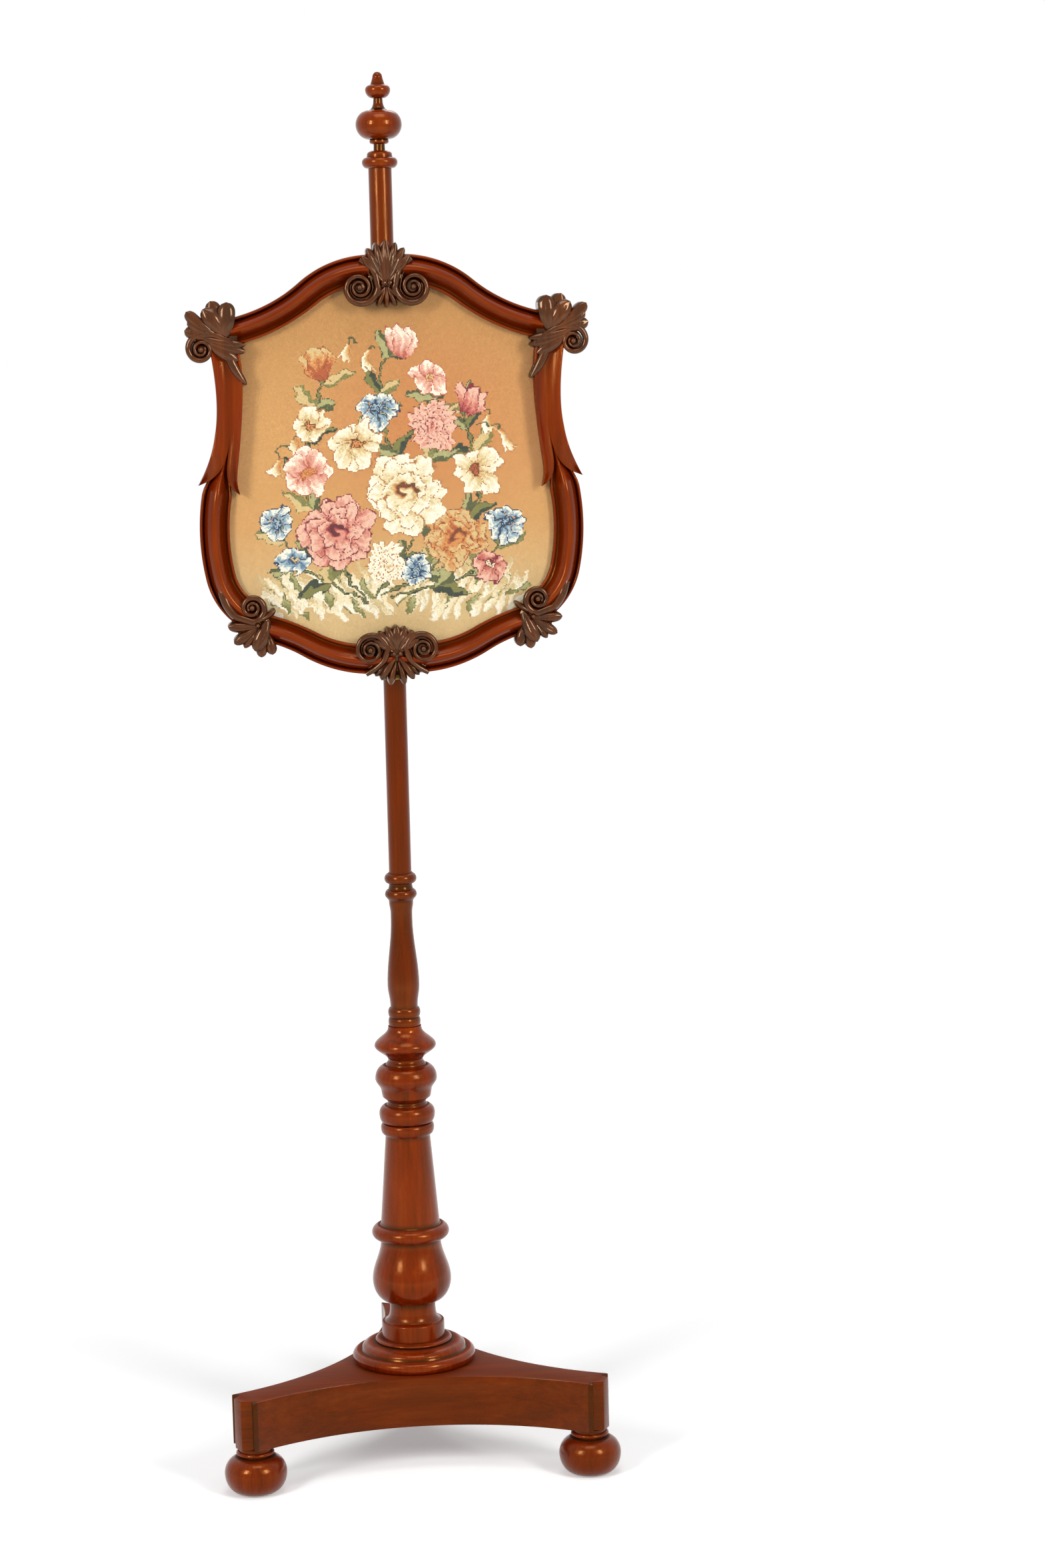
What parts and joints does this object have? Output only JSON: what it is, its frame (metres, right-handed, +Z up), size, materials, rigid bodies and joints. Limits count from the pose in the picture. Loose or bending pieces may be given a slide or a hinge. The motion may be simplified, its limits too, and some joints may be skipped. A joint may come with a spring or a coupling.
{
  "type": "pole screen",
  "caption": "Glazed needlework screen in a moulded and carved shield-shaped frame that slides and turns on a turned pole with an urn finial and a tripartite base.",
  "frame": {"origin": "on the pole's axis at floor level", "axes": "+Z up along the pole, -Y towards the viewer whom the screen faces, +X to that viewer's right"},
  "size_m": [0.4282, 0.3799, 1.5],
  "materials": {
    "polished_mahogany": "french polish",
    "carved_mahogany": "waxed carving",
    "aged_brass": "aged",
    "bush_leather": "waxed",
    "pale_wood": "planed",
    "clear_glass": "clear",
    "wool_canvas": "wool tent stitch"
  },
  "bodies": {
    "stand": {"foot_back": "polished_mahogany", "foot_left": "polished_mahogany", "foot_right": "polished_mahogany", "platform": "polished_mahogany", "base_ring": "polished_mahogany", "column": "polished_mahogany", "tenon_wedge": "pale_wood", "stem": "polished_mahogany", "pole": "polished_mahogany"},
    "slider": {"bush_upper": "bush_leather", "bush_lower": "bush_leather"},
    "screen": {"bracket_upper": "aged_brass", "bracket_lower": "aged_brass", "bracket_screws": "aged_brass", "crest_rail_left": "polished_mahogany", "crest_rail_right": "polished_mahogany", "shoulder_rail_left": "polished_mahogany", "shoulder_rail_right": "polished_mahogany", "side_leaf_left": "polished_mahogany", "side_leaf_right": "polished_mahogany", "stile_left": "polished_mahogany", "stile_right": "polished_mahogany", "stile_foot_left": "polished_mahogany", "stile_foot_right": "polished_mahogany", "apron_rail_left": "polished_mahogany", "apron_rail_right": "polished_mahogany", "knee_rail_left": "polished_mahogany", "knee_rail_right": "polished_mahogany", "crest": "carved_mahogany", "crest_scroll_left": "carved_mahogany", "crest_scroll_right": "carved_mahogany", "apron": "carved_mahogany", "apron_scroll_left": "carved_mahogany", "apron_scroll_right": "carved_mahogany", "ear_left": "carved_mahogany", "ear_right": "carved_mahogany", "ear_scroll_left": "carved_mahogany", "ear_scroll_right": "carved_mahogany", "knee_left": "carved_mahogany", "knee_right": "carved_mahogany", "knee_scroll_left": "carved_mahogany", "knee_scroll_right": "carved_mahogany", "glass": "clear_glass", "needlework": "wool_canvas", "strainer": "pale_wood", "back_board": "pale_wood", "board_screws": "aged_brass"},
    "thumb_screw": {"thumb_screw": "aged_brass"},
    "finial": {"finial": "polished_mahogany"}
  },
  "joints": [
    {"name": "screen_slide", "type": "slide", "parent": "stand", "child": "slider", "axis": [0, 0, 1], "range_m": [-0.215, 0.085]},
    {"name": "screen_swivel", "type": "hinge", "parent": "slider", "child": "screen", "pos_m": [0, 0, 1.09], "axis": [0, 0, 1], "continuous": true},
    {"name": "thumb_turn", "type": "hinge", "parent": "screen", "child": "thumb_screw", "pos_m": [0, 0.03, 0.875], "axis": [0, 1, 0], "range_deg": [-90, 720]},
    {"name": "finial_lift", "type": "slide", "parent": "stand", "child": "finial", "axis": [0, 0, 1], "range_m": [0, 0.03]}
  ]
}
